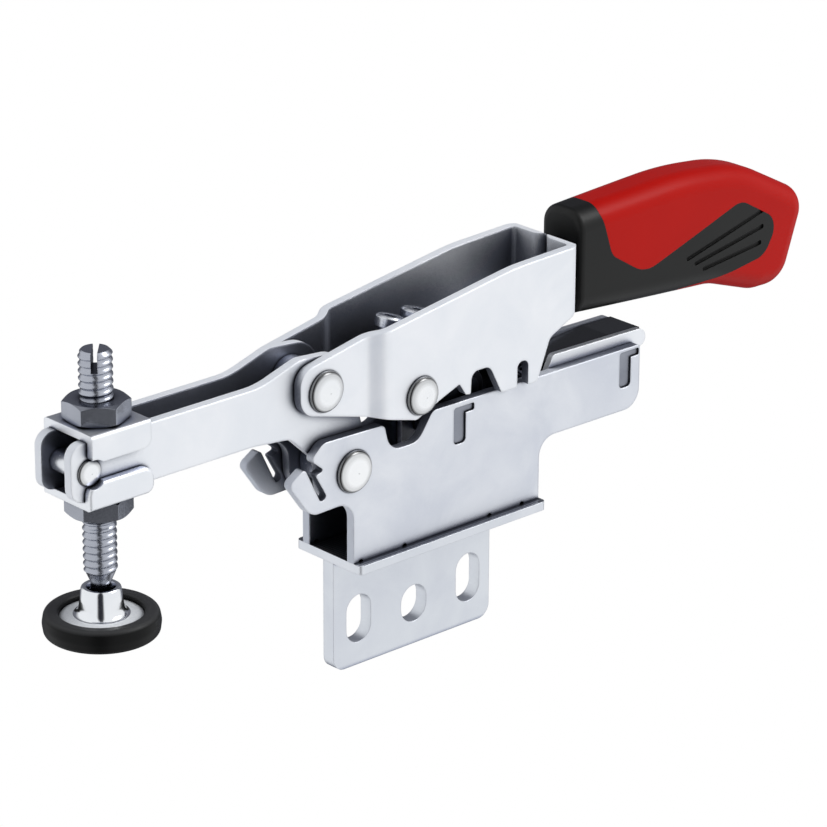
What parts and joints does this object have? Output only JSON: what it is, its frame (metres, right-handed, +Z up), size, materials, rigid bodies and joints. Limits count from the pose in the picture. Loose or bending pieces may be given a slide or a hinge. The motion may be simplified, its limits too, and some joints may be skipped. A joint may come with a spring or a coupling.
{
  "type": "toggle clamp",
  "caption": "Horizontal toggle clamp with an open arm, threaded spindle and rubber pad, self-adjusting link, two-component handle and slotted vertical base plate.",
  "frame": {"origin": "centre of the mounting plate's middle slot, in the plate's mid-plane", "axes": "+X from the clamping arm's nose towards the handle, +Z up along the spindle, Y across the clamp"},
  "size_m": [0.2434, 0.0278, 0.1037],
  "materials": {
    "zinc_plate": "zinc plated, flat and matt",
    "zinc_sheet": "bright zinc plated sheet",
    "dark_zinc": "zinc plated, dull sheared edge",
    "bright_sheet": "bright zinc plated sheet",
    "black_plastic": "glossy black nylon",
    "rivet": "burnished domed rivet head",
    "bush": "turned and zinc plated",
    "nut": "zinc plated hexagon nut",
    "thread": "zinc plated rolled thread",
    "turned": "bright turned steel",
    "black_rubber": "matt black rubber",
    "link_steel": "zinc plated steel",
    "screw": "zinc plated socket screw",
    "spring_wire": "spring steel wire",
    "red_plastic": "satin red moulded plastic",
    "soft_grip": "satin black soft overmould"
  },
  "bodies": {
    "base": {"mounting_plate": "zinc_plate", "base_flange": "zinc_plate", "wall_left": "zinc_sheet", "wall_right": "zinc_sheet", "front_cross_plate": "dark_zinc", "rear_cross_plate": "dark_zinc", "rear_guide": "bright_sheet", "rear_buffer": "black_plastic", "base_rivet": "rivet", "base_bush": "bush", "slider_spring": "spring_wire"},
    "arm": {"arm_left": "zinc_sheet", "arm_right": "zinc_sheet", "nose_rivet": "rivet", "nose_spacer": "bush"},
    "handle": {"handle_left": "zinc_sheet", "handle_right": "zinc_sheet", "arm_pivot_rivet": "rivet", "arm_pivot_bush": "bush", "link_rivet": "rivet", "link_spacers": "bush", "grip_core": "red_plastic", "grip_soft": "soft_grip"},
    "link": {"link_left": "link_steel", "link_right": "link_steel", "link_block": "link_steel", "lock_screw": "screw", "slide_pin": "bush"},
    "adjuster": {"adjusting_screw": "screw"},
    "slider": {"slider": "link_steel"},
    "carriage": {"upper_washer": "zinc_sheet", "lower_washer": "zinc_sheet"},
    "upper_nut": {"upper_nut": "nut"},
    "lower_nut": {"lower_nut": "nut"},
    "spindle": {"spindle": "thread"},
    "pad": {"pad_cup": "turned", "pad_ring": "black_rubber"}
  },
  "joints": [
    {"name": "arm_pivot", "type": "hinge", "parent": "base", "child": "arm", "pos_m": [-0.0264, 0, 0.0447], "axis": [0, 1, 0], "range_deg": [0, 72]},
    {"name": "handle_pivot", "type": "hinge", "parent": "arm", "child": "handle", "pos_m": [-0.0351, 0, 0.0673], "axis": [0, 1, 0], "range_deg": [-122, 0]},
    {"name": "link_pivot", "type": "hinge", "parent": "handle", "child": "link", "pos_m": [-0.0069, 0, 0.0597], "axis": [0, 1, 0], "range_deg": [0, 133]},
    {"name": "slider_travel", "type": "slide", "parent": "base", "child": "slider", "axis": [1, 0, 0], "range_m": [0, 0.003], "stiffness_N_per_m": 1500, "springref_m": -0.004, "deforming": ["slider_spring"]},
    {"name": "carriage_slide", "type": "slide", "parent": "arm", "child": "carriage", "axis": [1, 0, 0], "range_m": [0, 0.026]},
    {"name": "spindle_height", "type": "slide", "parent": "carriage", "child": "spindle", "axis": [0, 0, 1], "range_m": [-0.01, 0.012]},
    {"name": "upper_nut_turn", "type": "hinge", "parent": "carriage", "child": "upper_nut", "pos_m": [-0.0959, 0, 0.0765], "axis": [0, 0, 1], "continuous": true},
    {"name": "lower_nut_turn", "type": "hinge", "parent": "carriage", "child": "lower_nut", "pos_m": [-0.0959, 0, 0.0525], "axis": [0, 0, 1], "continuous": true},
    {"name": "pad_tilt", "type": "hinge", "parent": "spindle", "child": "pad", "pos_m": [-0.0959, 0, 0.0286], "axis": [0, 1, 0], "range_deg": [-8, 8]},
    {"name": "adjuster_turn", "type": "hinge", "parent": "link", "child": "adjuster", "pos_m": [0.00126, 0, 0.06992], "axis": [0.2617, 0, 0.9652], "continuous": true}
  ],
  "couplings": [
    {"joint": "handle_pivot", "follows": "arm_pivot", "ratio": -1.69},
    {"joint": "link_pivot", "follows": "arm_pivot", "ratio": 1.84}
  ]
}
